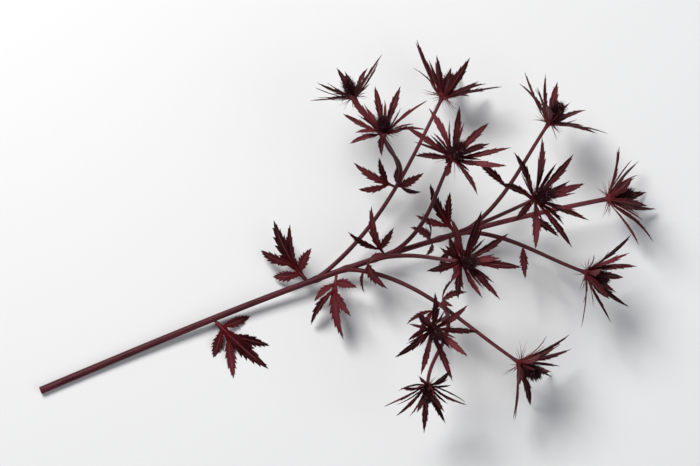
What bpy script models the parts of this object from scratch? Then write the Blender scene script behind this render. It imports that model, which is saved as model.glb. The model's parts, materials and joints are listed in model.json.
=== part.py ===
# Sea holly stem, cut and laid down on a surface.
# One branched stalk carries flower heads. Each head is a spiny cone that sits in
# a ruff of toothed bracts, and cut leaves stand at the forks of the stalk.
# Metres, +Z up, +X from the cut end to the top. The origin is on the surface,
# below the middle of the stem's box.

import math
import random

import bmesh
import bpy
from mathutils import Matrix, Vector

# Clear gap between a piece and what carries it
SEAT_GAP = 0.0003

# Stalk: the centre of its cut end, its radii at the cut end and below the top
# head, and the radii of a side shoot at its root and below its head
CUT_END = Vector((-0.2625, -0.026, 0.0031))
CUT_DIRECTION = Vector((1.0, 0.13, 0.0))
MAIN_RADII = (0.0031, 0.0019)
SIDE_RADII = (0.0019, 0.0014)
ROOT_SHARE = 0.85
FORK_SWELL = 1.22
FORK_REACH = 0.005
END_REACH = 0.003
STALK_STEP = 0.018
HANDLE_SHARE = 0.36

# Ruff of bracts of a full-size head
BRACT_LENGTH = 0.053
BRACT_WIDTH = 0.0078
BLADE_THICKNESS = 0.0007
CUP_RADIUS = 0.0060
CUP_FOOT_RADIUS = 0.0024
CUP_DEPTH = 0.0038

# Its two ranks of bracts: how many, their length and width as shares of a long
# bract's, where they start as shares of the cup's radius and depth, how much
# further they stand up than the first rank (degrees), and their pairs of teeth
RANKS = (
    dict(count=9, length=1.0, width=1.0, start=0.52, rise=0.50, lift=0, waist=0.36, teeth=2),
    dict(count=5, length=0.62, width=0.74, start=0.62, rise=0.84, lift=8, waist=0.36, teeth=1),
)

# Thin needles that stand out round the cup's foot
NEEDLES = 6
NEEDLE_LENGTH = 0.017
NEEDLE_RADIUS = 0.0007

# Flower cone of a full-size head
CONE_HEIGHT = 0.0185
CONE_RADIUS = 0.0058
FLORET_RISE = 0.0021
NECK_SHARE = 0.62

# A leaf's middle lobe is LEAF_WIDTH wide on a leaf LEAF_LENGTH long. It rises
# LEAF_LIFT degrees at its root, and the side lobes rise LEAF_KEEL more.
LEAF_LENGTH, LEAF_WIDTH = 0.045, 0.0098
LEAF_LIFT, LEAF_KEEL = 14, 12
SIDE_LOBE_WIDTH = 0.74
LOBE_SINK = 0.0002

# For each number of lobes, their directions from the middle one (degrees), and
# their lengths and starts as shares of the middle one's length
LOBES = {
    1: ((0, 1.0, 0.0),),
    3: ((0, 1.0, 0.0), (43, 0.70, 0.10), (-40, 0.64, 0.13)),
    5: ((0, 1.0, 0.0), (35, 0.62, 0.24), (-37, 0.66, 0.22), (66, 0.46, 0.10), (-64, 0.44, 0.12)),
}

# Every shoot ends in a head. A shoot says what it grows from and how far along
# that, where its head's foot is, which way the head looks (azimuth and
# elevation in degrees), the head's size, how far the bracts stand up from the
# head's own plane (degrees) and the seed of its bracts.
# A foot with no height is let down until the ruff touches the surface.
SHOOTS = {
    "top": dict(foot=(0.217, -0.006, None), looks=(-6, 4),
                size=1.00, lift=36, seed=11),
    "crown_left": dict(on="top", at=0.365, foot=(0.187, 0.061, 0.054), looks=(38, 24),
                       size=0.90, lift=32, seed=12),
    "crown_right": dict(on="top", at=0.365, foot=(0.181, -0.061, 0.044), looks=(-40, 16),
                        size=0.90, lift=36, seed=13),
    "crown_upper": dict(on="top", at=0.345, foot=(0.153, -0.004, 0.092), looks=(-8, 56),
                        size=0.95, lift=28, seed=14),
    "middle_left": dict(on="top", at=0.305, foot=(0.098, 0.039, 0.116), looks=(30, 64),
                        size=0.90, lift=26, seed=15),
    "middle_right": dict(on="top", at=0.290, foot=(0.083, -0.039, 0.106), looks=(-40, 60),
                         size=0.88, lift=30, seed=16),
    "left_end": dict(on="top", at=0.240, foot=(0.113, 0.110, None), looks=(48, 6),
                     size=0.96, lift=36, seed=17),
    "left_outer": dict(on="left_end", at=0.105, foot=(0.044, 0.123, 0.060), looks=(104, 26),
                       size=0.76, lift=28, seed=18),
    "left_inner": dict(on="left_end", at=0.105, foot=(0.055, 0.080, 0.090), looks=(80, 58),
                       size=0.80, lift=32, seed=29),
    "right_end": dict(on="top", at=0.265, foot=(0.109, -0.115, None), looks=(-52, 6),
                      size=0.94, lift=34, seed=20),
    "right_outer": dict(on="right_end", at=0.090, foot=(0.034, -0.117, 0.062), looks=(-106, 28),
                        size=0.74, lift=30, seed=21),
    "right_inner": dict(on="right_end", at=0.090, foot=(0.047, -0.080, 0.086), looks=(-82, 54),
                        size=0.78, lift=30, seed=22),
}

# A leaf says what it grows from and how far along, which way it leaves the
# stalk, how far it is rolled about that way (degrees), its length and its
# number of lobes, and how far it bends down on its way to the tip (degrees).
# The low leaf starts level, so that it lies on the surface.
LEAVES = {
    "low": dict(on="top", at=0.150, points=(-60, -10), roll=0, length=0.058, lobes=5, droop=16,
                lift=0, keel=0),
    "left_fork": dict(on="top", at=0.232, points=(108, 8), roll=-40,
                      length=0.057, lobes=5, droop=50),
    "right_fork": dict(on="top", at=0.257, points=(-108, 8), roll=40,
                       length=0.055, lobes=5, droop=45),
    "middle_right_fork": dict(on="top", at=0.283, points=(-84, 52), roll=40,
                              length=0.045, lobes=3, droop=60),
    "middle_left_fork": dict(on="top", at=0.298, points=(104, 46), roll=-40,
                             length=0.045, lobes=3, droop=50),
    "crown_fork_upper": dict(on="top", at=0.338, points=(170, 72), roll=0,
                             length=0.043, lobes=3, droop=50),
    "crown_fork_left": dict(on="top", at=0.358, points=(104, 10), roll=-40,
                            length=0.045, lobes=3, droop=45),
    "crown_fork_right": dict(on="top", at=0.358, points=(-104, 8), roll=40,
                             length=0.045, lobes=3, droop=50),
    "left_outer_fork": dict(on="left_end", at=0.099, points=(140, 14), roll=-40,
                            length=0.040, lobes=3, droop=50),
    "left_inner_fork": dict(on="left_end", at=0.099, points=(-10, 60), roll=40,
                            length=0.035, lobes=3, droop=55),
    "right_outer_fork": dict(on="right_end", at=0.084, points=(-140, 14), roll=40,
                             length=0.040, lobes=3, droop=50),
    "right_inner_fork": dict(on="right_end", at=0.084, points=(10, 60), roll=-40,
                             length=0.035, lobes=3, droop=55),
    "crown_left": dict(on="crown_left", at=0.050, points=(120, 30), roll=0,
                       length=0.033, lobes=1, droop=40),
    "crown_right": dict(on="crown_right", at=0.050, points=(-110, 30), roll=0,
                        length=0.033, lobes=1, droop=40),
    "top": dict(on="top", at=0.420, points=(-70, 40), roll=0, length=0.035, lobes=1, droop=40),
}


def clear_scene():
    for obj in list(bpy.data.objects):
        bpy.data.objects.remove(obj)


def finish(name, colour, roughness):
    material = bpy.data.materials.new(name)
    material.use_nodes = True
    shader = material.node_tree.nodes["Principled BSDF"]
    shader.inputs["Base Color"].default_value = (*colour, 1.0)
    shader.inputs["Roughness"].default_value = roughness
    shader.inputs["Metallic"].default_value = 0.0
    return material


def direction(azimuth, elevation):
    a, e = math.radians(azimuth), math.radians(elevation)
    return Vector((math.cos(a) * math.cos(e), math.sin(a) * math.cos(e), math.sin(e)))


def link(name, mesh, collection):
    obj = bpy.data.objects.new(name, mesh)
    collection.objects.link(obj)
    return obj


def mesh_from(bm, name):
    mesh = bpy.data.meshes.new(name)
    bm.to_mesh(mesh)
    bm.free()
    return mesh


def evaluated_mesh(obj):
    graph = bpy.context.evaluated_depsgraph_get()
    return bpy.data.meshes.new_from_object(obj.evaluated_get(graph))


def working_collection(name):
    collection = bpy.data.collections.new(name)
    bpy.context.scene.collection.children.link(collection)
    return collection


# Only the largest shell of the mesh stays: a pocket sealed in where blades cross
# is filled, and a loose scrap is dropped.
def keep_largest_shell(mesh):
    bm = bmesh.new()
    bm.from_mesh(mesh)
    waiting = set(bm.faces)
    shells = []
    while waiting:
        shell, front = [], [waiting.pop()]
        while front:
            face = front.pop()
            shell.append(face)
            near = {other for edge in face.edges for other in edge.link_faces} & waiting
            waiting -= near
            front.extend(near)
        shells.append(shell)
    shells.sort(key=len)
    for shell in shells[:-1]:
        bmesh.ops.delete(bm, geom=shell, context="FACES")
    bm.to_mesh(mesh)
    bm.free()


# The mesh of body joined with every object of the collection extras. All of
# them are then removed.
def fused(body, extras):
    union = body.modifiers.new("union", "BOOLEAN")
    union.operation = "UNION"
    union.operand_type = "COLLECTION"
    union.collection = extras
    union.solver = "MANIFOLD"
    mesh = evaluated_mesh(body)
    keep_largest_shell(mesh)
    for obj in [body, *extras.objects]:
        bpy.data.objects.remove(obj)
    bpy.data.collections.remove(extras)
    return mesh


# A smooth shoot from its root to the foot of its head, as one cubic curve
class Shoot:
    SAMPLES = 64

    def __init__(self, root, leaves_along, foot, arrives_along, radii):
        reach = (foot - root).length * HANDLE_SHARE
        first = root + leaves_along.normalized() * reach
        second = foot - arrives_along.normalized() * reach
        self.points = []
        for i in range(self.SAMPLES + 1):
            t = i / self.SAMPLES
            u = 1 - t
            self.points.append(u**3 * root + 3 * u * u * t * first + 3 * u * t * t * second + t**3 * foot)
        self.distances = [0.0]
        for a, b in zip(self.points, self.points[1:]):
            self.distances.append(self.distances[-1] + (b - a).length)
        self.length = self.distances[-1]
        self.radii = radii
        self.forks = []

    # The centre of the shoot this far along it, and the way it runs there
    def spot(self, distance):
        i = next((k for k, d in enumerate(self.distances[1:], 1) if d >= distance), self.SAMPLES)
        a, b = self.points[i - 1], self.points[i]
        share = (distance - self.distances[i - 1]) / (self.distances[i] - self.distances[i - 1])
        return a.lerp(b, share), (b - a).normalized()

    def radius(self, distance):
        share = distance / self.length
        plain = self.radii[0] + (self.radii[1] - self.radii[0]) * share
        swollen = any(abs(distance - fork) < FORK_REACH / 2 for fork in self.forks)
        return plain * (FORK_SWELL if swollen else 1.0)

    # Even steps along the shoot, three close together at each fork, and a short
    # straight end that meets the head squarely
    def stations(self):
        steps = max(3, round(self.length / STALK_STEP))
        even = [self.length * i / steps for i in range(steps)] + [self.length - END_REACH, self.length]
        found = [d for d in even if all(abs(d - fork) > 1.6 * FORK_REACH for fork in self.forks)]
        for fork in set(self.forks):
            found += [fork - FORK_REACH, fork, fork + FORK_REACH]
        return sorted(found)


def head_frame(foot, looks):
    return Matrix.Translation(foot) @ direction(*looks).to_track_quat("Z", "Y").to_matrix().to_4x4()


# All shoots by name. A shoot comes after the one that it grows from.
def grow_shoots(ruffs):
    shoots = {}
    for name, plan in SHOOTS.items():
        foot = Vector((plan["foot"][0], plan["foot"][1], plan["foot"][2] or 0.0))
        looks = direction(*plan["looks"])
        if plan["foot"][2] is None:
            frame = head_frame(foot + looks * SEAT_GAP, plan["looks"])
            foot.z = -min((frame @ v.co).z for v in ruffs[name].vertices)
        if "on" in plan:
            parent = shoots[plan["on"]]
            root, runs = parent.spot(plan["at"])
            leaves_along = runs + (foot - root).normalized()
            thick = min(SIDE_RADII[0], ROOT_SHARE * parent.radius(plan["at"]))
            shoots[name] = Shoot(root, leaves_along, foot, looks, (thick, SIDE_RADII[1]))
            parent.forks.append(plan["at"])
        else:
            shoots[name] = Shoot(CUT_END, CUT_DIRECTION, foot, looks, MAIN_RADII)
    return shoots


def tube(name, shoot, bevel_resolution, collection):
    curve = bpy.data.curves.new(name, "CURVE")
    curve.dimensions = "3D"
    curve.bevel_depth = shoot.radii[0]
    curve.bevel_resolution = bevel_resolution
    curve.use_fill_caps = True
    spline = curve.splines.new("POLY")
    stations = shoot.stations()
    spline.points.add(len(stations) - 1)
    for point, distance in zip(spline.points, stations):
        point.co = (*shoot.spot(distance)[0], 1.0)
        point.radius = shoot.radius(distance) / shoot.radii[0]
    guide = link(name, curve, collection)
    bm = bmesh.new()
    bm.from_mesh(evaluated_mesh(guide))
    bpy.data.objects.remove(guide)
    bmesh.ops.remove_doubles(bm, verts=bm.verts[:], dist=0.00001)
    return link(name, mesh_from(bm, name), collection)


def build_stalk(shoots, collection):
    main = tube("main", shoots["top"], 2, collection)
    side = working_collection("side shoots")
    for name, shoot in shoots.items():
        if name != "top":
            tube(name, shoot, 1, side)
    return link("stalk", fused(main, side), collection)


# The half width of a blade from root to tip, as pairs of the share of its
# length and the share of its half width, with a notch just past each tooth
def toothed_rows(waist, teeth):
    rows = [(0.0, waist)]
    for i in range(teeth):
        t = 0.44 + 0.25 * i
        full = 1.0 if t < 0.6 or teeth == 1 else 0.92
        rows += [(t, full), (t + 0.03, 0.74 * full)]
    return [*rows, (1.0, 0.0)]


# How far out and how high a blade's midrib is at the share t of its length
def midrib(plan, t):
    lift, bend = math.radians(plan["lift"]), math.radians(plan["bend"])
    out = plan["length"] * (math.sin(lift + bend * t) - math.sin(lift)) / bend
    return out, -plan["length"] * (math.cos(lift + bend * t) - math.cos(lift)) / bend


# The mid surface of a toothed blade. It leaves its root at lift degrees above
# the local plane, and bends, sweeps sideways and twists on its way to the tip.
def blade_sheet(plan):
    rows = toothed_rows(plan["waist"], plan["teeth"])
    last = len(rows) - 1
    bm = bmesh.new()
    bmesh.ops.create_grid(bm, x_segments=1, y_segments=last, size=0.5)
    outward = Vector((math.cos(plan["azimuth"]), math.sin(plan["azimuth"]), 0.0))
    across = Vector((-outward.y, outward.x, 0.0))
    up = Vector((0.0, 0.0, 1.0))
    tip = []
    for vert in bm.verts:
        row = round((vert.co.y + 0.5) * last)
        t, share = rows[row]
        angle = math.radians(plan["lift"] + plan["bend"] * t)
        out, height = midrib(plan, t)
        swept = plan["sweep"] * plan["length"] * t * t
        centre = plan["root"] + outward * out + up * height + across * swept
        runs = outward * math.cos(angle) + up * math.sin(angle)
        side = Matrix.Rotation(math.radians(plan["twist"]) * t, 3, runs) @ across
        vert.co = centre + side * math.copysign(share * plan["width"] / 2, vert.co.x)
        if row == last:
            tip.append(vert)
    bmesh.ops.pointmerge(bm, verts=tip, merge_co=tip[0].co)
    return bm


# The sheet as a closed blade. Its faces are split first, alike for both sides.
def thickened(bm, name, collection):
    bmesh.ops.triangulate(bm, faces=bm.faces[:])
    blade = link(name, mesh_from(bm, name), collection)
    solidify = blade.modifiers.new("thickness", "SOLIDIFY")
    solidify.thickness = BLADE_THICKNESS
    solidify.offset = 0.0
    blade.data = evaluated_mesh(blade)
    blade.modifiers.clear()
    return blade


# The bracts of one head, drawn in a fixed order from the head's seed
def bract_plans(plan):
    draw = random.Random(plan["seed"])
    size = plan["size"]
    turn = draw.uniform(0, 2 * math.pi)
    bracts = []
    for rank, sort in enumerate(RANKS):
        for i in range(sort["count"]):
            azimuth = turn + 2 * math.pi * (i + 0.5 * rank + draw.uniform(-0.13, 0.13)) / sort["count"]
            start = CUP_RADIUS * size * sort["start"]
            rise = CUP_DEPTH * size * sort["rise"]
            bracts.append(dict(
                root=Vector((math.cos(azimuth) * start, math.sin(azimuth) * start, rise)),
                azimuth=azimuth,
                lift=plan["lift"] + sort["lift"] + draw.uniform(-8, 8),
                bend=draw.choice((-1, -1, 1)) * draw.uniform(8, 28),
                length=BRACT_LENGTH * size * sort["length"] * draw.uniform(0.82, 1.0),
                width=BRACT_WIDTH * size * sort["width"] * draw.uniform(0.88, 1.06),
                sweep=draw.uniform(-0.09, 0.09),
                twist=draw.uniform(-28, 28),
                waist=sort["waist"],
                teeth=sort["teeth"],
            ))
    return bracts


def needle(name, azimuth, lift, size, collection):
    length = NEEDLE_LENGTH * size
    bm = bmesh.new()
    bmesh.ops.create_cone(bm, cap_ends=True, segments=3, radius1=NEEDLE_RADIUS, radius2=0.0, depth=length)
    bmesh.ops.remove_doubles(bm, verts=bm.verts[:], dist=0.00001)
    root = direction(azimuth, 0) * CUP_FOOT_RADIUS * size
    root.z = CUP_DEPTH * size / 2
    bmesh.ops.translate(bm, verts=bm.verts[:], vec=(0, 0, length / 2))
    bmesh.ops.transform(bm, verts=bm.verts[:], matrix=head_frame(root, (azimuth, lift)))
    return link(name, mesh_from(bm, name), collection)


# One head's bracts and base needles on their cup. The cup's foot is at the
# local origin, and the head looks along local +Z.
def build_ruff(name, plan, collection):
    size = plan["size"]
    bm = bmesh.new()
    bmesh.ops.create_cone(bm, cap_ends=True, segments=10, radius1=CUP_FOOT_RADIUS * size,
                          radius2=CUP_RADIUS * size, depth=CUP_DEPTH * size)
    bmesh.ops.translate(bm, verts=bm.verts[:], vec=(0, 0, CUP_DEPTH * size / 2))
    cup = link(name, mesh_from(bm, name), collection)
    blades = working_collection(name + " blades")
    for i, bract in enumerate(bract_plans(plan)):
        thickened(blade_sheet(bract), f"{name} bract {i}", blades)
    draw = random.Random(plan["seed"] + 500)
    for i in range(NEEDLES):
        azimuth = 360 * (i + draw.uniform(-0.2, 0.2)) / NEEDLES
        needle(f"{name} needle {i}", azimuth, draw.uniform(-30, 0), size * draw.uniform(0.7, 1.0), blades)
    return fused(cup, blades)


# A spiny egg with a flat foot at the local origin. Each face of a ball is
# raised to a floret's point.
def build_cone(name, plan):
    size = plan["size"]
    bm = bmesh.new()
    bmesh.ops.create_icosphere(bm, subdivisions=2, radius=1.0)
    foot = -0.80
    bmesh.ops.bisect_plane(bm, geom=bm.verts[:] + bm.edges[:] + bm.faces[:], plane_co=(0, 0, foot),
                           plane_no=(0, 0, 1), clear_inner=True)
    bmesh.ops.holes_fill(bm, edges=[e for e in bm.edges if e.is_boundary])
    for vert in bm.verts:
        above = (vert.co.z - foot) / (1 - foot)
        slim = NECK_SHARE + (1 - NECK_SHARE) * min(1.0, above / 0.35)
        vert.co = (vert.co.x * slim * CONE_RADIUS * size, vert.co.y * slim * CONE_RADIUS * size,
                   above * CONE_HEIGHT * size)
    bm.normal_update()
    florets = [f for f in bm.faces if f.calc_center_median().z > 0.22 * CONE_HEIGHT * size]
    raised = bmesh.ops.poke(bm, faces=florets, offset=FLORET_RISE * size)
    for vert in raised["verts"]:
        vert.co.z += FLORET_RISE * size * 0.5
    bmesh.ops.triangulate(bm, faces=bm.faces[:])
    return mesh_from(bm, name)


# The lobes of one leaf. Local +X is the way the leaf leaves the stalk, and
# local +Z is its upper side.
def lobe_plans(plan, seed):
    draw = random.Random(seed)
    lobes = []
    for i, (turn, share, start) in enumerate(LOBES[plan["lobes"]]):
        keel = plan.get("keel", LEAF_KEEL) if i else 0
        slimness = SIDE_LOBE_WIDTH if i else 1.0
        lobe = dict(
            root=Vector((0.0, 0.0, 0.0)),
            azimuth=math.radians(turn + draw.uniform(-4, 4)),
            lift=plan.get("lift", LEAF_LIFT) + keel + draw.uniform(-3, 3),
            bend=-plan["droop"] * draw.uniform(0.8, 1.15),
            length=plan["length"] * share,
            width=LEAF_WIDTH * plan["length"] / LEAF_LENGTH * slimness * draw.uniform(0.92, 1.05),
            sweep=draw.uniform(-0.06, 0.06),
            twist=draw.uniform(-18, 18),
            waist=0.34,
            teeth=2,
        )
        if i:
            out, height = midrib(lobes[0], start)
            swept = lobes[0]["sweep"] * plan["length"] * start * start
            lobe["root"] = Vector((out, swept, height - LOBE_SINK))
        lobes.append(lobe)
    return lobes


# A leaf starts as near the stalk as the corners of its root can come
def leaf_frame(plan, shoot, root_width):
    centre, runs = shoot.spot(plan["at"])
    points = direction(*plan["points"])
    level = Vector((0, 0, 1)).cross(points).normalized()
    across = Matrix.Rotation(math.radians(plan["roll"]), 3, points) @ level
    facing = points.cross(across)
    half_width, half_thickness = across * root_width / 2, facing * BLADE_THICKNESS / 2
    corners = [half_width * y + half_thickness * z for y in (-1, 1) for z in (-1, 1)]
    away = 0.0
    while min(runs.cross(points * away + c).length for c in corners) < shoot.radius(plan["at"]) + SEAT_GAP:
        away += 0.0001
    frame = Matrix((points, across, facing)).transposed().to_4x4()
    return Matrix.Translation(centre + points * away) @ frame


# The mesh of one leaf, and the frame in which it stands
def build_leaf(name, plan, shoot, seed, collection):
    plans = lobe_plans(plan, seed)
    frame = leaf_frame(plan, shoot, plans[0]["width"] * plans[0]["waist"])
    side_lobes = working_collection(name + " lobes")
    for i, lobe in enumerate(plans):
        bm = blade_sheet(lobe)
        # A lobe that would pass below the surface lies on it
        for vert in bm.verts:
            world = frame @ vert.co
            world.z = max(world.z, BLADE_THICKNESS / 2)
            vert.co = frame.inverted() @ world
        if i == 0:
            middle = thickened(bm, f"{name} lobe 0", collection)
        else:
            thickened(bm, f"{name} lobe {i}", side_lobes)
    if len(plans) > 1:
        return fused(middle, side_lobes), frame
    bpy.data.collections.remove(side_lobes)
    mesh = middle.data
    bpy.data.objects.remove(middle)
    return mesh, frame


def main():
    clear_scene()
    parts = working_collection("sea holly stem")
    bract_red = finish("bract", (0.105, 0.016, 0.022), 0.48)
    cone_dark = finish("cone", (0.028, 0.006, 0.009), 0.60)
    stalk_red = finish("stalk", (0.085, 0.014, 0.026), 0.42)
    leaf_red = finish("leaf", (0.070, 0.012, 0.017), 0.50)

    ruffs = {name: build_ruff("ruff_" + name, plan, parts) for name, plan in SHOOTS.items()}
    shoots = grow_shoots(ruffs)
    stalk = build_stalk(shoots, parts)
    stalk.data.materials.append(stalk_red)
    for name, plan in SHOOTS.items():
        foot = shoots[name].points[-1]
        looks = direction(*plan["looks"])
        ruff = link("ruff_" + name, ruffs[name], parts)
        ruff.matrix_world = head_frame(foot + looks * SEAT_GAP, plan["looks"])
        ruff.data.materials.append(bract_red)
        cone = link("cone_" + name, build_cone("cone_" + name, plan), parts)
        rim = 2 * SEAT_GAP + CUP_DEPTH * plan["size"]
        cone.matrix_world = head_frame(foot + looks * rim, plan["looks"])
        cone.data.materials.append(cone_dark)
    for seed, (name, plan) in enumerate(LEAVES.items(), 40):
        mesh, frame = build_leaf("leaf_" + name, plan, shoots[plan["on"]], seed, parts)
        leaf = link("leaf_" + name, mesh, parts)
        leaf.matrix_world = frame
        leaf.data.materials.append(leaf_red)


main()
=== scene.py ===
import json
import math
import random

import bmesh
import bpy
from mathutils import Matrix, Vector

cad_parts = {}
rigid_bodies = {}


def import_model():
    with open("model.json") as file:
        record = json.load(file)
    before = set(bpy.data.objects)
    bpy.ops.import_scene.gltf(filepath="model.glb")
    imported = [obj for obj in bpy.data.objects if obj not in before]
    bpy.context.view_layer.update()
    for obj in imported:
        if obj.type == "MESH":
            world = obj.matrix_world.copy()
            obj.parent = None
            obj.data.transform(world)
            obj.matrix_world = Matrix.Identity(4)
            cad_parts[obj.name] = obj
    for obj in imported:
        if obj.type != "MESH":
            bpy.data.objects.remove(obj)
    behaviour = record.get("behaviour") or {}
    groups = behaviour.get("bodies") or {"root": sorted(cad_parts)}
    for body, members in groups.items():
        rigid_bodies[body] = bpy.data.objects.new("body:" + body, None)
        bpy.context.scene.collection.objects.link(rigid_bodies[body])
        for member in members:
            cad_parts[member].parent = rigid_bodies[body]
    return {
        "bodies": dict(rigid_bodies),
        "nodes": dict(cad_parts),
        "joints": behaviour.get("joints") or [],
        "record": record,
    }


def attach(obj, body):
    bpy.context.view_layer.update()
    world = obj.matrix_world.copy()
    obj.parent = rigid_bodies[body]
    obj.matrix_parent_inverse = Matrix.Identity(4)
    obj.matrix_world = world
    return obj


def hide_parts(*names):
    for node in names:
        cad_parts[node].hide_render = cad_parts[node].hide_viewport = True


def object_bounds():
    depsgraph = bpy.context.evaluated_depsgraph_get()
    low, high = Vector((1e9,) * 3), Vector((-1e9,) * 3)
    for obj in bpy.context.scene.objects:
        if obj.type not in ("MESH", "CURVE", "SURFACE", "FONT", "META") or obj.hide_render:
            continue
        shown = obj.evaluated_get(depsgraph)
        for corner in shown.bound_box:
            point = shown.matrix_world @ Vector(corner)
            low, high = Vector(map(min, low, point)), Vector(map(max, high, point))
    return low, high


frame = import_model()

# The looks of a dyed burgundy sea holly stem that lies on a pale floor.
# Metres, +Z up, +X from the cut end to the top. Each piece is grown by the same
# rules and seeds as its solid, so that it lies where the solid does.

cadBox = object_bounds()
print("solids loaded:", len(frame["nodes"]), "nodes")


# A socket that stands in a formula. Each operator adds the node that works it out.
class Signal:
    def __init__(self, graph, socket):
        self.graph = graph
        self.socket = socket

    def __add__(self, other):
        return self.graph.work("ADD", self, other)

    def __sub__(self, other):
        return self.graph.work("SUBTRACT", self, other)

    def __rsub__(self, other):
        return self.graph.work("SUBTRACT", other, self)

    def __mul__(self, other):
        return self.graph.work("MULTIPLY", self, other)

    def __truediv__(self, other):
        return self.graph.work("DIVIDE", self, other)

    def __pow__(self, other):
        return self.graph.work("POWER", self, other)

    def __abs__(self):
        return self.graph.work("ABSOLUTE", self)

    __radd__, __rmul__ = __add__, __mul__

    # Another output of the same node
    def other(self, name):
        return Signal(self.graph, self.socket.node.outputs[name])


# The nodes of one geometry or shader tree
class Graph:
    def __init__(self, tree):
        self.tree = tree

    # One node of any type, with the values or links of its sockets and its own settings
    def add(self, kind, sockets=None, output=None, **settings):
        node = self.tree.nodes.new(kind)
        for name, value in settings.items():
            setattr(node, name, value)
        for key, value in (sockets or {}).items():
            socket = node.inputs[key] if isinstance(key, int) else next(
                s for s in node.inputs if s.name == key and s.enabled)
            for one in value if isinstance(value, list) else [value]:
                if isinstance(one, Signal):
                    self.tree.links.new(one.socket, socket)
                else:
                    socket.default_value = one
        usable = [s for s in node.outputs if s.enabled and output in (None, s.name)]
        return Signal(self, usable[0]) if usable else node

    # A sum, product or other operation, on numbers or on vectors
    def work(self, operation, *values):
        wide = [isinstance(v, (tuple, Vector)) or getattr(getattr(v, "socket", None), "type", "")
                in ("VECTOR", "RGBA") for v in values]
        sockets = dict(enumerate(values))
        if not any(wide):
            return self.add("ShaderNodeMath", sockets, operation=operation)
        if operation == "MULTIPLY" and not all(wide):
            operation = "SCALE"
            sockets = dict(zip(("Vector", "Scale"), values if wide[0] else values[::-1]))
        return self.add("ShaderNodeVectorMath", sockets, operation=operation)

    def sine(self, value):
        return self.work("SINE", value)

    def cosine(self, value):
        return self.work("COSINE", value)

    def larger(self, one, two):
        return self.work("MAXIMUM", one, two)

    # 0 where the value is at low, 1 where it is at high, and smooth between them
    def ease(self, value, low, high):
        return self.add("ShaderNodeMapRange", {"Value": value, "From Min": low, "From Max": high},
                        interpolation_type="SMOOTHSTEP")

    def split(self, vector):
        x = self.add("ShaderNodeSeparateXYZ", {"Vector": vector})
        return x, x.other("Y"), x.other("Z")

    def join(self, x, y, z):
        return self.add("ShaderNodeCombineXYZ", {"X": x, "Y": y, "Z": z})

    def noise(self, place, scale, detail=2.0, roughness=0.5):
        return self.add("ShaderNodeTexNoise", {
            "Vector": place, "Scale": scale, "Detail": detail, "Roughness": roughness})

    # The geometry with one more value on its points
    def store(self, geometry, name, value, kind="FLOAT"):
        sockets = {"Geometry": geometry, "Name": name, "Value": value}
        return self.add("GeometryNodeStoreNamedAttribute", sockets, data_type=kind, domain="POINT")

    # The geometry with its points at new places
    def moved(self, geometry, places):
        return self.add("GeometryNodeSetPosition", {"Geometry": geometry, "Position": places})


# A new geometry tree with named inputs, and those inputs as signals
def newTree(name, inputs):
    tree = bpy.data.node_groups.new(name, "GeometryNodeTree")
    tree.interface.new_socket("Geometry", in_out="INPUT", socket_type="NodeSocketGeometry")
    for label, kind in inputs.items():
        tree.interface.new_socket(label, in_out="INPUT", socket_type="NodeSocket" + kind)
    tree.interface.new_socket("Geometry", in_out="OUTPUT", socket_type="NodeSocketGeometry")
    graph = Graph(tree)
    given = tree.nodes.new("NodeGroupInput")
    return graph, {s.name: Signal(graph, s) for s in given.outputs if s.name}


# The end of every geometry tree: real geometry in its finish
def endTree(graph, geometry, finish):
    real = graph.add("GeometryNodeRealizeInstances", {"Geometry": geometry})
    finished = graph.add("GeometryNodeSetMaterial", {"Geometry": real, "Material": finish})
    graph.add("NodeGroupOutput", {"Geometry": finished})
    return graph.tree


def newObject(name, data):
    made = bpy.data.objects.new(name, data)
    bpy.context.scene.collection.objects.link(made)
    return made


# The plain mesh that a tree grows on a host mesh, or on an empty one. The host is then removed.
def grown(name, tree, values, hostMesh=None):
    host = newObject(name + " host", hostMesh or bpy.data.meshes.new(name))
    modifier = host.modifiers.new("grow", "NODES")
    modifier.node_group = tree
    sockets = {item.name: item.identifier for item in tree.interface.items_tree if item.in_out == "INPUT"}
    for label, value in values.items():
        modifier[sockets[label]] = value
    graph = bpy.context.evaluated_depsgraph_get()
    mesh = bpy.data.meshes.new_from_object(host.evaluated_get(graph), preserve_all_data_layers=True,
                                           depsgraph=graph)
    host.modifiers.remove(modifier)
    bpy.data.objects.remove(host)
    return mesh


# The mesh as a finished piece that stands for its solids
def finishPiece(name, mesh, nodes=()):
    keepInBox(mesh)
    mesh.validate()
    piece = newObject(name, mesh)
    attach(piece, "root")
    if nodes:
        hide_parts(*nodes)
    return piece


# No point goes past the box of the solids
def keepInBox(mesh):
    low, high = cadBox
    for vertex in mesh.vertices:
        vertex.co = [min(max(c, a), b) for c, a, b in zip(vertex.co, low, high)]


def direction(azimuth, elevation):
    a, e = math.radians(azimuth), math.radians(elevation)
    return Vector((math.cos(a) * math.cos(e), math.sin(a) * math.cos(e), math.sin(e)))


# Axes that stand at a place, with Z along the way given
def standing(place, way):
    return Matrix.Translation(place) @ way.to_track_quat("Z", "Y").to_matrix().to_4x4()


def meshFrom(bm, name):
    mesh = bpy.data.meshes.new(name)
    bm.to_mesh(mesh)
    bm.free()
    return mesh


# The mesh of a closed shape, smooth and with its faces outwards
def smoothMesh(bm, name):
    bmesh.ops.recalc_face_normals(bm, faces=bm.faces[:])
    for face in bm.faces:
        face.smooth = True
    return meshFrom(bm, name)


# A face in which a corner that comes twice counts once
def addFace(bm, *corners):
    bm.faces.new(list(dict.fromkeys(corners)))


def ringPoints(radius, height, sides):
    angles = [2 * math.pi * k / sides for k in range(sides)]
    return [Vector((radius * math.cos(a), radius * math.sin(a), height)) for a in angles]


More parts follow.
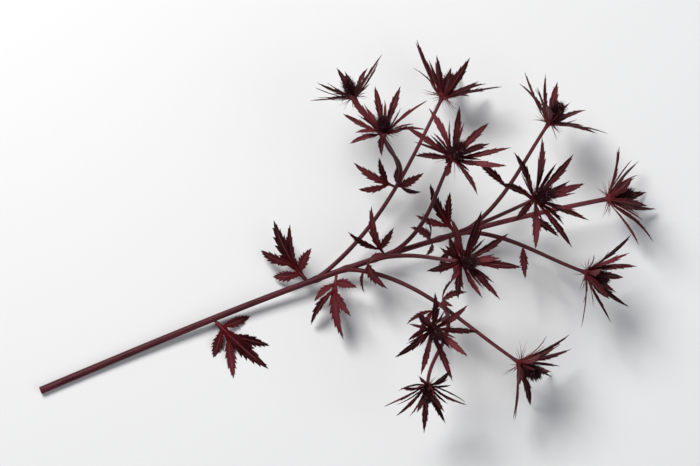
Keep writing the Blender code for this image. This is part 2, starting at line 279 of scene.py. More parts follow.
# The faces of a closed stack of rings. A ring may be one corner, repeated, as at a tip.
# With footTurn -1 the foot's face lists its corners backwards.
def stackRings(bm, rings, footTurn=-1):
    for low, high in zip(rings, rings[1:]):
        for k in range(len(low)):
            addFace(bm, low[k - 1], low[k], high[k], high[k - 1])
    for ring in (rings[0][::footTurn], rings[-1]):
        if len(set(ring)) > 2:
            addFace(bm, *ring)


def smoothShare(x):
    x = min(max(x, 0.0), 1.0)
    return x * x * (3 - 2 * x)


# The stalk. Forks and roots swell by a share of the radius, over a reach.
stalkSize = dict(
    cutEnd=Vector((-0.2625, -0.026, 0.0031)), cutDirection=Vector((1.0, 0.13, 0.0)),
    mainRadii=(0.0031, 0.0019), sideRadii=(0.0019, 0.0014), rootShare=0.85, rootFlare=1.22,
    handleShare=0.36, forkSwell=0.26, forkReach=0.0034, rootSwell=0.30, headReach=0.0045,
    neckShare=0.86, intoHead=0.0012, step=0.0016, ribs=11, ribDepth=0.10, sides=33,
    seatGap=0.0003, cutInset=0.00015,
)

# Every shoot ends in a head: what it grows from, if not from the top one, and how far
# along that, where the head's foot is, which way the head looks (azimuth and
# elevation in degrees), its size, how far its bracts stand up (degrees) and their seed.
shootPlans = {
    "top": dict(foot=(0.217, -0.006, 0.03299), looks=(-6, 4), size=1.00, lift=36, seed=11),
    "crown_left": dict(at=0.365, foot=(0.187, 0.061, 0.054), looks=(38, 24), size=0.90, lift=32, seed=12),
    "crown_right": dict(at=0.365, foot=(0.181, -0.061, 0.044), looks=(-40, 16), size=0.90, lift=36, seed=13),
    "crown_upper": dict(at=0.345, foot=(0.153, -0.004, 0.092), looks=(-8, 56), size=0.95, lift=28, seed=14),
    "middle_left": dict(at=0.305, foot=(0.098, 0.039, 0.116), looks=(30, 64), size=0.90, lift=26, seed=15),
    "middle_right": dict(at=0.290, foot=(0.083, -0.039, 0.106), looks=(-40, 60), size=0.88, lift=30, seed=16),
    "left_end": dict(at=0.240, foot=(0.113, 0.110, 0.03794), looks=(48, 6), size=0.96, lift=36, seed=17),
    "left_outer": dict(on="left_end", at=0.105, foot=(0.044, 0.123, 0.060), looks=(104, 26),
                       size=0.76, lift=28, seed=18),
    "left_inner": dict(on="left_end", at=0.105, foot=(0.055, 0.080, 0.090), looks=(80, 58),
                       size=0.80, lift=32, seed=29),
    "right_end": dict(at=0.265, foot=(0.109, -0.115, 0.04002), looks=(-52, 6), size=0.94, lift=34, seed=20),
    "right_outer": dict(on="right_end", at=0.090, foot=(0.034, -0.117, 0.062), looks=(-106, 28),
                        size=0.74, lift=30, seed=21),
    "right_inner": dict(on="right_end", at=0.090, foot=(0.047, -0.080, 0.086), looks=(-82, 54),
                        size=0.78, lift=30, seed=22),
}


# A smooth shoot from its root to the foot of its head, as one cubic curve
class Shoot:
    samples = 64

    def __init__(self, root, leavesAlong, foot, looks, radii):
        reach = (foot - root).length * stalkSize["handleShare"]
        first = root + leavesAlong.normalized() * reach
        second = foot - looks.normalized() * reach
        self.looks = looks
        self.points = []
        for i in range(self.samples + 1):
            t = i / self.samples
            u = 1 - t
            self.points.append(u**3 * root + 3 * u * u * t * first + 3 * u * t * t * second + t**3 * foot)
        self.distances = [0.0]
        for a, b in zip(self.points, self.points[1:]):
            self.distances.append(self.distances[-1] + (b - a).length)
        self.length = self.distances[-1]
        self.radii = radii
        self.forks = []

    # The centre of the shoot this far along it, and the way it runs there
    def spot(self, distance):
        i = next((k for k, d in enumerate(self.distances[1:], 1) if d >= distance), self.samples)
        a, b = self.points[i - 1], self.points[i]
        share = (distance - self.distances[i - 1]) / (self.distances[i] - self.distances[i - 1])
        return a.lerp(b, share), (b - a).normalized()

    def plainRadius(self, distance):
        return self.radii[0] + (self.radii[1] - self.radii[0]) * distance / self.length

    # The radius with its swollen forks, its thick root and the neck below the head
    def fullRadius(self, distance, neckRadius):
        own = stalkSize
        swell = sum(own["forkSwell"] * math.exp(-((distance - f) / own["forkReach"]) ** 2)
                    for f in set(self.forks))
        if self.radii[0] < own["mainRadii"][0]:
            swell += own["rootSwell"] * math.exp(-((distance / (2 * own["forkReach"])) ** 2))
        plain = self.plainRadius(distance) * (1 + swell)
        neck = smoothShare(1 - (self.length - distance) / own["headReach"])
        return plain + (neckRadius - plain) * neck

    # Axes at this height over the shoot's end, with Z the way its head looks
    def headAxes(self, height):
        return standing(self.points[-1] + self.looks * height, self.looks)


def growShoots():
    shoots = {}
    for name, plan in shootPlans.items():
        foot, looks = Vector(plan["foot"]), direction(*plan["looks"])
        if "at" in plan:
            parent = shoots[plan.get("on", "top")]
            root, runs = parent.spot(plan["at"])
            leavesAlong = runs + (foot - root).normalized()
            fromParent = stalkSize["rootShare"] * parent.plainRadius(plan["at"]) * stalkSize["rootFlare"]
            radii = (min(stalkSize["sideRadii"][0], fromParent), stalkSize["sideRadii"][1])
            parent.forks.append(plan["at"])
        else:
            root, leavesAlong, radii = (stalkSize[k] for k in ("cutEnd", "cutDirection", "mainRadii"))
        shoots[name] = Shoot(root, leavesAlong, foot, looks, radii)
    return shoots


# Ribbed tubes along the splines of a curve object
def stalkTree():
    graph, given = newTree("ribbed stalk", {
        "Path": "Object", "Ribs": "Int", "Rib Depth": "Float", "Sides": "Int", "Finish": "Material"})
    path = graph.add("GeometryNodeObjectInfo", {"Object": given["Path"]}, "Geometry")
    parameter = graph.add("GeometryNodeSplineParameter", output="Length")
    for label, value in (("along", parameter), ("young", parameter.other("Factor"))):
        path = graph.store(path, label, value)
    circle = graph.add("GeometryNodeCurvePrimitiveCircle", {"Resolution": given["Sides"], "Radius": 1.0},
                       mode="RADIUS")
    place = graph.add("GeometryNodeInputPosition")
    circle = graph.store(circle, "around", place, "FLOAT_VECTOR")
    x, y = graph.split(place)[:2]
    rib = graph.cosine(graph.work("ARCTAN2", y, x) * given["Ribs"])
    circle = graph.moved(circle, place * (1.0 - given["Rib Depth"] * (0.5 - rib * 0.5)))
    radius = graph.add("GeometryNodeInputRadius")
    tubes = graph.add("GeometryNodeCurveToMesh", {
        "Curve": path, "Profile Curve": circle, "Scale": radius, "Fill Caps": True})
    tubes = graph.add("GeometryNodeSetShadeSmooth", {"Geometry": tubes, "Shade Smooth": True})
    return endTree(graph, tubes, given["Finish"])


# The bract and leaf blades. A blade is drawn flat as (share of its length, share
# of its half width, share of its half thickness) and bent to its plan by a tree.
bladeShapes = {
    "bract": dict(variants=6, waist=0.36, widest=0.54, taper=1.15, teeth=(3, 5), first=0.30, last=0.86,
                  depth=0.20, spine=0.17, lead=0.040, rows=18),
    "short": dict(variants=4, waist=0.34, widest=0.50, taper=1.15, teeth=(2, 3), first=0.36, last=0.80,
                  depth=0.20, spine=0.22, lead=0.045, rows=13),
    "slim": dict(variants=4, waist=0.50, widest=0.46, taper=1.10, teeth=(1, 3), first=0.34, last=0.80,
                 depth=0.16, spine=0.60, lead=0.040, rows=12),
    "lobe": dict(variants=6, waist=0.32, widest=0.46, taper=1.05, teeth=(5, 7), first=0.17, last=0.88,
                 depth=0.28, spine=0.16, lead=0.038, rows=20),
    "needle": dict(variants=1, sides=5, levels=(0.0, 0.35, 0.7), taper=1.6),
}
bladeColumns = (-1.0, -0.62, -0.13, 0.0, 0.13, 0.62, 1.0)
upperSkin = (0.0, 0.62, 0.80, 0.20, 0.80, 0.62, 0.0)      # a groove along the midrib above
lowerSkin = (0.0, -0.62, -0.90, -2.10, -0.90, -0.62, 0.0)  # and a keel below

# All places here are shares of a blade's length. A tooth clears the rows near it and
# adds one just before and one just after its point.
bladeSize = dict(
    seed=7, clear=0.018, before=0.022, after=0.008, lastRow=0.985, runIn=0.16, toothSpread=0.22,
    rise=0.8, spineShare=0.45, thinning=0.55, creaseReach=0.25, hookFrom=0.5,
)


# The half width of a blade at the share t of its length, before its teeth
def envelope(shape, t):
    if t < shape["widest"]:
        return shape["waist"] + (1 - shape["waist"]) * smoothShare(t / shape["widest"])
    return math.cos(math.pi / 2 * (t - shape["widest"]) / (1 - shape["widest"])) ** shape["taper"]


# One margin of a blade: the places of its teeth
def toothPlaces(shape, draw):
    count = draw.randint(*shape["teeth"])
    gap = (shape["last"] - shape["first"]) / max(1, count - 1)
    spread = bladeSize["toothSpread"]
    return [shape["first"] + gap * (k + draw.uniform(-spread, spread)) for k in range(count)]


# The half width and the forward lean of a margin at t. A margin widens slowly up
# to each tooth, ends in a spine there, and drops back just past it.
def margin(shape, teeth, t):
    full, share = envelope(shape, t), bladeSize["spineShare"]
    if t in teeth:
        return full + shape["spine"] * (share + (1 - share) * full), shape["lead"]
    before = max([tooth for tooth in teeth if tooth < t], default=None)
    after = min([tooth for tooth in teeth if tooth > t], default=None)
    start = before if before is not None else shape["first"] - bladeSize["runIn"]
    end = after if after is not None else 1.0
    rise = smoothShare((t - start) / (end - start)) ** bladeSize["rise"] if t > start else 1.0
    notched = before is not None or after is not None and t > start
    return full * (1 - shape["depth"] * (1 - rise) * notched), 0.0


def bladeMesh(name, shape, draw):
    left, right = toothPlaces(shape, draw), toothPlaces(shape, draw)
    places = {round(i / shape["rows"], 5) for i in range(shape["rows"])}
    for tooth in left + right:
        near = {p for p in places if abs(p - tooth) < bladeSize["clear"]}
        places = (places - near) | {tooth - bladeSize["before"], tooth, tooth + bladeSize["after"]}
    bm = bmesh.new()
    under = bm.verts.layers.float.new("under")
    rows, flat = [], {}
    for t in sorted(p for p in places if p < bladeSize["lastRow"]):
        margins = [margin(shape, side, t) for side in (right, left)]
        thin = 1 - bladeSize["thinning"] * t
        above, below = [], []
        for column, high, low in zip(bladeColumns, upperSkin, lowerSkin):
            width, lead = margins[column > 0]
            point = (t + lead * abs(column) ** 3, column * width)
            above.append(bm.verts.new((*point, high * thin)))
            below.append(above[-1] if abs(column) == 1 else bm.verts.new((*point, low * thin)))
            below[-1][under] = 0.5 if abs(column) == 1 else 1.0
            flat[above[-1]] = flat[below[-1]] = ((column + 1) / 2, t)
        rows.append((above, below))
    rims = {vert for above, below in rows for vert in (above[0], above[-1])}
    tip = bm.verts.new((1.0, 0.0, 0.0))
    flat[tip] = (0.5, 1.0)
    rows.append(([tip] * len(bladeColumns), [tip] * len(bladeColumns)))
    for (above0, below0), (above1, below1) in zip(rows, rows[1:]):
        for j in range(len(bladeColumns) - 1):
            addFace(bm, above0[j], above1[j], above1[j + 1], above0[j + 1])
            addFace(bm, below0[j], below0[j + 1], below1[j + 1], below1[j])
    addFace(bm, *rows[0][0], *rows[0][1][-2:0:-1])
    for edge in bm.edges:
        edge.smooth = not (edge.verts[0] in rims and edge.verts[1] in rims)
    return flatMesh(bm, name, flat)


# A round spike in the same flat space
def needleMesh(name, shape, draw):
    bm = bmesh.new()
    under = bm.verts.layers.float.new("under")
    rings = []
    for t in shape["levels"]:
        ring = ringPoints(1 - t ** shape["taper"], t, shape["sides"])
        rings.append([bm.verts.new((point.z, point.x, point.y)) for point in ring[::-1]])
    rings.append([bm.verts.new((1.0, 0.0, 0.0))] * shape["sides"])
    stackRings(bm, rings)
    for vert in bm.verts:
        vert[under] = 0.5
    return flatMesh(bm, name, {vert: (0.5, vert.co.x) for vert in bm.verts})


# The mesh of a flat blade, with each corner's place on it as its UV
def flatMesh(bm, name, flat):
    sheet = bm.loops.layers.uv.new("blade")
    for face in bm.faces:
        for loop in face.loops:
            loop[sheet].uv = flat[loop.vert]
    return smoothMesh(bm, name)


# All flat blades in one collection, in the order of their names, and the places
# in that order of each kind's variants
def drawBlades():
    collection = bpy.data.collections.new("flat blades")
    bpy.context.scene.collection.children.link(collection)
    numbers, draw = {}, random.Random(bladeSize["seed"])
    for kind, shape in bladeShapes.items():
        numbers[kind] = []
        for variant in range(shape["variants"]):
            number = len(collection.objects)
            name = f"blade_{number:02d}"
            make = needleMesh if kind == "needle" else bladeMesh
            collection.objects.link(bpy.data.objects.new(name, make(name, shape, draw)))
            numbers[kind].append(number)
    return collection, numbers


# Bends flat blades to their plans. Each point of the host mesh carries one plan.
def bladeTree():
    graph, given = newTree("blades", {
        "Flat Blades": "Collection", "Body": "Object", "Ripple": "Float", "Ripple Scale": "Float",
        "Finish": "Material"})

    # What a blade's plan says under this name
    def plan(name, kind="FLOAT"):
        return graph.add("GeometryNodeInputNamedAttribute", {"Name": name}, data_type=kind)

    flat = graph.add("GeometryNodeCollectionInfo", {
        "Collection": given["Flat Blades"], "Separate Children": True, "Reset Children": True})
    blades = graph.add("GeometryNodeInstanceOnPoints", {
        "Points": given["Geometry"], "Instance": flat, "Pick Instance": True,
        "Instance Index": plan("blade_number", "INT")})
    blades = graph.add("GeometryNodeRealizeInstances", {"Geometry": blades})
    root = plan("root", "FLOAT_VECTOR")
    outward, across, up = (plan(axis, "FLOAT_VECTOR") for axis in ("outward", "across", "up"))
    t, share, skin = graph.split(graph.add("GeometryNodeInputPosition") - root)
    lift, bend, length, twist = plan("lift"), plan("bend"), plan("length"), plan("twist") * t
    halfWidth, halfThick = plan("width") * 0.5, plan("thick") * 0.5
    swing = lift + bend * t
    out = length * (graph.sine(swing) - graph.sine(lift)) / bend
    height = length * (graph.cosine(lift) - graph.cosine(swing)) / bend
    centre = root + outward * out + up * height + across * (plan("sweep") * length * t * t)
    runs = outward * graph.cosine(swing) + up * graph.sine(swing)
    level = graph.work("CROSS_PRODUCT", runs, across)
    side = across * graph.cosine(twist) + level * graph.sine(twist)
    facing = level * graph.cosine(twist) - across * graph.sine(twist)
    crease = plan("crease") * graph.ease(t, 0.0, bladeSize["creaseReach"])
    hooked = graph.larger(t - bladeSize["hookFrom"], 0.0)
    waves = graph.noise(centre + side * (share * halfWidth), given["Ripple Scale"]) - 0.5
    raised = (abs(share) * halfWidth * graph.sine(crease) + plan("hook") * length * hooked * hooked
              + waves * given["Ripple"] * abs(share) + skin * halfThick)
    x, y, z = graph.split(centre + side * (share * halfWidth * graph.cosine(crease)) + facing * raised)
    z = graph.larger(z, graph.larger((skin + 1.0) * halfThick, 0.0))
    blades = graph.moved(blades, graph.join(x, y, z))
    body = graph.add("GeometryNodeObjectInfo", {"Object": given["Body"]}, "Geometry")
    both = graph.add("GeometryNodeJoinGeometry", {"Geometry": [blades, body]})
    return endTree(graph, both, given["Finish"])


flatBlades, bladeNumbers = drawBlades()
blades = bladeTree()


# The plans as a mesh of loose points, each with its numbers and axes
def planMesh(name, plans, placing):
    mesh = bpy.data.meshes.new(name)
    turned = placing.to_3x3()
    for plan in plans:
        azimuth = plan.pop("azimuth")
        outward = Vector((math.cos(azimuth), math.sin(azimuth), 0.0))
        plan["root"] = placing @ plan["root"]
        plan["outward"] = turned @ outward
        plan["across"] = turned @ Vector((-outward.y, outward.x, 0.0))
        plan["up"] = turned @ Vector((0.0, 0.0, 1.0))
    mesh.from_pydata([plan["root"] for plan in plans], [], [])
    for key, value in plans[0].items():
        kind = "FLOAT_VECTOR" if isinstance(value, Vector) else "INT" if key == "blade_number" else "FLOAT"
        layer = mesh.attributes.new(key, kind, "POINT")
        flat = [c for plan in plans for c in plan[key]] if kind == "FLOAT_VECTOR" else [p[key] for p in plans]
        layer.data.foreach_set("vector" if kind == "FLOAT_VECTOR" else "value", flat)
    return mesh


# How far out and how high a blade's midrib is at the share t of its length
def midrib(plan, t):
    lift, bend = plan["lift"], plan["bend"]
    out = plan["length"] * (math.sin(lift + bend * t) - math.sin(lift)) / bend
    return out, plan["length"] * (math.cos(lift) - math.cos(lift + bend * t)) / bend


# The ruff of bracts of a full-size head, with its cup. Two ranks are the solid's
# own, and the slim ones and needles stand between them.
ruffSize = dict(
    bractLength=0.053, bractWidth=0.0078, cupRadius=0.0060, cupFootRadius=0.0024, cupDepth=0.0038,
    thick=0.00042, ripple=0.0011, rippleScale=130.0,
    # How much the bracts vary: angles in degrees, the rest as shares
    aside=0.13, lift=8, bend=(8, 28), lengths=(0.82, 1.0), widths=(0.88, 1.06), sweep=0.09, twist=28,
    crease=(10, 26), hook=(-0.10, 0.16),
    ranks=(
        dict(kind="bract", count=9, length=1.0, width=1.0, start=0.52, rise=0.50, lift=0),
        dict(kind="short", count=5, length=0.62, width=0.74, start=0.62, rise=0.84, lift=8),
    ),
)

# What stands between the bracts: the solid's own needles at the cup's foot, hairs round
# them, and slim bracts on its wall. Those start out times a radius of the cup away from
# its middle, at rise times its depth, and follows is 1 if they stand up with the bracts.
smallSize = dict(
    thick=ruffSize["thick"], bend=(4, 30), sweep=0.08, twist=30, crease=(12, 30), hook=(-0.15, 0.15),
    sorts=(
        dict(kind="needle", count=6, seed=500, aside=0.2, follows=0, lift=(-30, 0), length=0.017,
             lengths=(0.7, 1.0), width=0.0007, ring="cupFootRadius", out=1.0, rise=0.5),
        dict(kind="needle", count=22, aside=0.4, follows=0, lift=(-34, 34), length=1.0,
             lengths=(0.009, 0.019), width=0.00050, ring="cupFootRadius", out=1.3, rise=(0.3, 0.9)),
        dict(kind="slim", count=11, aside=0.4, follows=1, lift=(-18, 22), length=ruffSize["bractLength"],
             lengths=(0.36, 0.72), width=0.0033, widths=(0.8, 1.25), ring="cupRadius", out=0.55, rise=0.62),
    ),
)


# A random number up to this far either way
def eitherWay(draw, reach):
    return draw.uniform(-reach, reach)


# Where a blade starts on the cup
def onCup(azimuth, out, rise):
    return Vector((math.cos(azimuth) * out, math.sin(azimuth) * out, rise))


# A blade's plan: what is given, with sweep and twist as draw has them, and from looks
# what only shows here. Its angles come in degrees, but for the azimuth.
def bladePlan(own, kind, draw, looks, **given):
    needle = kind == "needle"
    plan = dict(
        given, sweep=eitherWay(draw, own["sweep"]), twist=0 if needle else eitherWay(draw, own["twist"]),
        thick=given["width"] if needle else own["thick"],
        crease=0 if needle else looks.uniform(*own["crease"]), hook=looks.uniform(*own["hook"]),
        tone=looks.random(), blade_number=looks.choice(bladeNumbers[kind]),
    )
    for angle in ("lift", "bend", "twist", "crease"):
        plan[angle] = math.radians(plan[angle])
    return plan


def bractPlans(plan):
    own, size, bracts = ruffSize, plan["size"], []
    draw, looks = random.Random(plan["seed"]), random.Random(plan["seed"] + 1000)
    turn = draw.uniform(0, 2 * math.pi)
    for rank, sort in enumerate(own["ranks"]):
        start, rise = own["cupRadius"] * size * sort["start"], own["cupDepth"] * size * sort["rise"]
        for i in range(sort["count"]):
            place = i + 0.5 * rank + eitherWay(draw, own["aside"])
            azimuth = turn + 2 * math.pi * place / sort["count"]
            bracts.append(bladePlan(
                own, sort["kind"], draw, looks, root=onCup(azimuth, start, rise), azimuth=azimuth,
                lift=plan["lift"] + sort["lift"] + eitherWay(draw, own["lift"]),
                bend=draw.choice((-1, -1, 1)) * draw.uniform(*own["bend"]),
                length=own["bractLength"] * size * sort["length"] * draw.uniform(*own["lengths"]),
                width=own["bractWidth"] * size * sort["width"] * draw.uniform(*own["widths"])))
    return bracts


def smallPlans(plan):
    own, size, small = smallSize, plan["size"], []
    looks = random.Random(plan["seed"] + 2000)
    for sort in own["sorts"]:
        draw = random.Random(plan["seed"] + sort["seed"]) if "seed" in sort else looks
        for i in range(sort["count"]):
            azimuth = 2 * math.pi * (i + eitherWay(draw, sort["aside"])) / sort["count"]
            lift = sort["follows"] * plan["lift"] + draw.uniform(*sort["lift"])
            length, width = sort["length"] * size * draw.uniform(*sort["lengths"]), sort["width"]
            if "widths" in sort:
                width *= size * draw.uniform(*sort["widths"])
            rise = draw.uniform(*sort["rise"]) if isinstance(sort["rise"], tuple) else sort["rise"]
            out = ruffSize[sort["ring"]] * size * sort["out"]
            small.append(bladePlan(
                own, sort["kind"], looks, looks, azimuth=azimuth, lift=lift,
                root=onCup(azimuth, out, ruffSize["cupDepth"] * size * rise),
                bend=looks.choice((-1, 1)) * looks.uniform(*own["bend"]), length=length, width=width))
    return small


# The cup that carries the bracts, turned from a profile and lightly fluted. Its
# wall is (share of the rim's radius, share of the depth).
cupSize = dict(
    sides=22, flute=0.06, sunk=0.0004, footShare=0.80, footRise=0.10,
    wall=((0.66, 0.42), (0.92, 0.74), (1.0, 0.94), (0.94, 1.0), (0.5, 1.04)),
)


def cupMesh(name, plan, placing):
    foot, rim, depth = (ruffSize[k] * plan["size"] for k in ("cupFootRadius", "cupRadius", "cupDepth"))
    profile = [(foot * cupSize["footShare"], -cupSize["sunk"]), (foot, depth * cupSize["footRise"])]
    profile += [(rim * out, depth * high) for out, high in cupSize["wall"]]
    bm = bmesh.new()
    rings = []
    for k, (radius, height) in enumerate(profile):
        ring = ringPoints(radius, height, cupSize["sides"])
        if 0 < k < len(profile) - 1:
            ring[1::2] = ringPoints(radius * (1 - cupSize["flute"]), height, cupSize["sides"])[1::2]
        rings.append([bm.verts.new(placing @ point) for point in ring])
    stackRings(bm, rings)
    return smoothMesh(bm, name)


# The flower cone of a full-size head: florets in a golden spiral on an egg
coneSize = dict(
    height=0.0185, radius=0.0058, neck=0.62, neckReach=0.35, foot=-0.80, lastGap=0.14, coreShare=0.82,
    florets=170, seed=3, upward=0.45, steepness=0.62, tipSize=0.62, tipReach=0.25,
)

# What stands on the egg: its length, how much that varies, how far it leans aside, the
# share of places that have it, its sides, and its rings (height, radius, sideways shift)
coneShapes = {
    "Floret": dict(size=0.0018, varies=0.15, leans=0.10, kept=1.0, sides=6, rings=(
        (-0.35, 0.42, 0.0), (0.30, 0.55, 0.0), (0.75, 0.34, 0.03), (1.0, 0.10, 0.05))),
    "Spine": dict(size=0.0042, varies=0.30, leans=0.26, kept=1.0, sides=4, rings=(
        (-0.1, 0.10, -0.08), (0.35, 0.065, -0.10), (0.75, 0.032, -0.04), (1.0, 0.006, 0.04))),
    "Bristle": dict(size=0.0062, varies=0.40, leans=0.55, kept=0.5, sides=3, rings=(
        (0.0, 0.030, 0.0), (0.5, 0.022, 0.06), (1.0, 0.004, -0.02))),
}


def coneTree():
    inputs = {"Height": "Float", "Radius": "Float", "Neck": "Float", "Core Share": "Float",
              "Florets": "Int", "Upward": "Float", "Seed": "Int", "Place": "Vector", "Turn": "Vector",
              "Finish": "Material"}
    for shape in coneShapes:
        inputs.update({shape: "Object", shape + " Size": "Float"})
    graph, given = newTree("flower cone", inputs)
    foot, neck, radius = coneSize["foot"], given["Neck"], given["Radius"] * given["Core Share"]

    # A unit sphere's points as points of the egg
    def onEgg(x, y, z):
        above = (z - foot) / (1 - foot)
        slim = neck + (1.0 - neck) * graph.work("MINIMUM", above / coneSize["neckReach"], 1.0)
        return graph.join(x * slim * radius, y * slim * radius, above * given["Height"])

    core = graph.add("GeometryNodeMeshIcoSphere", {"Radius": 1.0, "Subdivisions": 4}, "Mesh")
    x, y, z = graph.split(graph.add("GeometryNodeInputPosition"))
    core = graph.moved(core, onEgg(x, y, graph.larger(z, foot)))
    index = graph.add("GeometryNodeInputIndex")
    share = (index + 0.5) / given["Florets"]
    z = 1.0 - share * (1.0 - foot - coneSize["lastGap"])
    ring = (1.0 - z * z) ** 0.5
    angle = index * (math.pi * (3 - math.sqrt(5)))
    x, y = ring * graph.cosine(angle), ring * graph.sine(angle)
    line = graph.add("GeometryNodeMeshLine", {"Count": given["Florets"]}, mode="OFFSET", count_mode="TOTAL")
    line = graph.moved(line, onEgg(x, y, z))

    def chance(low, high, offset):
        return graph.add("FunctionNodeRandomValue", {
            "Min": low, "Max": high, "ID": index, "Seed": given["Seed"] + offset}, data_type="FLOAT")

    parts = [core]
    atTip = coneSize["tipSize"]
    crowding = atTip + (1 - atTip) * graph.ease(share, 0.0, coneSize["tipReach"])
    line = graph.store(line, "tone", chance(0.0, 1.0, 9))
    for order, (name, shape) in enumerate(coneShapes.items()):
        first, lean, varies = 10 * order, shape["leans"], shape["varies"]
        rise = z * coneSize["steepness"] + given["Upward"]
        looks = graph.join(x + chance(-lean, lean, first + 1), y + chance(-lean, lean, first + 2),
                           rise + chance(-lean, lean, first + 3))
        turn = graph.add("FunctionNodeAlignRotationToVector", {"Vector": looks}, axis="Z")
        thing = graph.add("GeometryNodeObjectInfo", {"Object": given[name], "As Instance": True}, "Geometry")
        scale = given[name + " Size"] * crowding * chance(1 - varies, 1 + varies, first + 4)
        chosen = graph.add("FunctionNodeCompare", {"A": chance(0.0, 1.0, first + 5), "B": shape["kept"]},
                           data_type="FLOAT", operation="LESS_THAN")
        parts.append(graph.add("GeometryNodeInstanceOnPoints", {
            "Points": line, "Selection": chosen, "Instance": thing, "Rotation": turn,
            "Scale": graph.join(1.0, 1.0, 1.0) * scale}))
    whole = graph.add("GeometryNodeJoinGeometry", {"Geometry": parts})
    whole = graph.add("GeometryNodeRealizeInstances", {"Geometry": whole})
    whole = graph.add("GeometryNodeSetShadeSmooth", {"Geometry": whole, "Shade Smooth": True})
    turned = graph.add("FunctionNodeEulerToRotation", {"Euler": given["Turn"]})
    whole = graph.add("GeometryNodeTransform", {
        "Geometry": whole, "Translation": given["Place"], "Rotation": turned})
    return endTree(graph, whole, given["Finish"])


# A floret, spine or bristle as a closed shape. Its points carry how near its tip they are.
def ringedShape(name, shape):
    bm = bmesh.new()
    spike = bm.verts.layers.float.new("spike")
    rings = []
    for height, radius, shift in shape["rings"]:
        aside = Vector((shift, 0.0, 0.0))
        rings.append([bm.verts.new(point + aside) for point in ringPoints(radius, height, shape["sides"])])
    stackRings(bm, rings, footTurn=1)
    for vert in bm.verts:
        vert[spike] = max(0.0, vert.co.z / shape["rings"][-1][0])
    return newObject(name, smoothMesh(bm, name))


# Leaves. A leaf is a fan of toothed lobes on a short stalk. A lobe is (turn in
# degrees, share of the length, where it starts along the middle lobe).
leafSize = dict(
    length=0.045, width=0.0098, sideLobeWidth=0.74, lobeSink=0.0002, thick=0.00046, waist=0.34,
    bladeThickness=0.0007, seatStep=0.0001, ripple=0.0014, rippleScale=110.0, firstSeed=40,
    petioleShare=0.048, petioleReach=0.42, petioleSink=0.0003, petioleBend=0.3, petioleLift=0.6,
    # How much the lobes vary: angles in degrees, the rest as shares
    turn=4, lift=3, droops=(0.8, 1.15), widths=(0.92, 1.05), sweep=0.06, twist=18,
    crease=(8, 20), hook=(-0.12, 0.06),
    lobes={
        1: ((0, 1.0, 0.0),),
        3: ((0, 1.0, 0.0), (43, 0.70, 0.10), (-40, 0.64, 0.13)),
        5: ((0, 1.0, 0.0), (35, 0.62, 0.24), (-37, 0.66, 0.22), (66, 0.46, 0.10), (-64, 0.44, 0.12)),
    },
)

# What each leaf grows from and how far along, which way it leaves the stalk, its roll
# about that way, its length and lobes, and how far it droops and lifts (degrees). What
# a row leaves out is as in plainLeaf.
plainLeaf = dict(on="top", roll=0, lobes=3, lift=14, keel=12)
leafPlans = {
    "low": dict(at=0.150, points=(-60, -10), length=0.058, lobes=5, droop=16, lift=0, keel=0),
    "left_fork": dict(at=0.232, points=(108, 8), roll=-40, length=0.057, lobes=5, droop=50),
    "right_fork": dict(at=0.257, points=(-108, 8), roll=40, length=0.055, lobes=5, droop=45),
    "middle_right_fork": dict(at=0.283, points=(-84, 52), roll=40, length=0.045, droop=60),
    "middle_left_fork": dict(at=0.298, points=(104, 46), roll=-40, length=0.045, droop=50),
    "crown_fork_upper": dict(at=0.338, points=(170, 72), length=0.043, droop=50),
    "crown_fork_left": dict(at=0.358, points=(104, 10), roll=-40, length=0.045, droop=45),
    "crown_fork_right": dict(at=0.358, points=(-104, 8), roll=40, length=0.045, droop=50),
    "left_outer_fork": dict(on="left_end", at=0.099, points=(140, 14), roll=-40, length=0.040, droop=50),
    "left_inner_fork": dict(on="left_end", at=0.099, points=(-10, 60), roll=40, length=0.035, droop=55),
    "right_outer_fork": dict(on="right_end", at=0.084, points=(-140, 14), roll=40, length=0.040, droop=50),
    "right_inner_fork": dict(on="right_end", at=0.084, points=(10, 60), roll=-40, length=0.035, droop=55),
    "crown_left": dict(on="crown_left", at=0.050, points=(120, 30), length=0.033, lobes=1, droop=40),
    "crown_right": dict(on="crown_right", at=0.050, points=(-110, 30), length=0.033, lobes=1, droop=40),
    "top": dict(at=0.420, points=(-70, 40), length=0.035, lobes=1, droop=40),
}


def lobePlans(plan, seed):
    own, lobes = leafSize, []
    draw, looks = random.Random(seed), random.Random(seed + 1000)
    for turn, share, start in own["lobes"][plan["lobes"]]:
        root, slimness, keel = Vector((0.0, 0.0, 0.0)), 1.0, 0
        if lobes:
            out, height = midrib(lobes[0], start)
            swept = lobes[0]["sweep"] * plan["length"] * start * start
            root, slimness = Vector((out, swept, height - own["lobeSink"])), own["sideLobeWidth"]
            keel = plan["keel"]
        lobes.append(bladePlan(
            own, "lobe", draw, looks, root=root, azimuth=math.radians(turn + eitherWay(draw, own["turn"])),
            lift=plan["lift"] + keel + eitherWay(draw, own["lift"]),
            bend=-plan["droop"] * draw.uniform(*own["droops"]), length=plan["length"] * share,
            width=own["width"] * plan["length"] / own["length"] * slimness * draw.uniform(*own["widths"])))
    return lobes


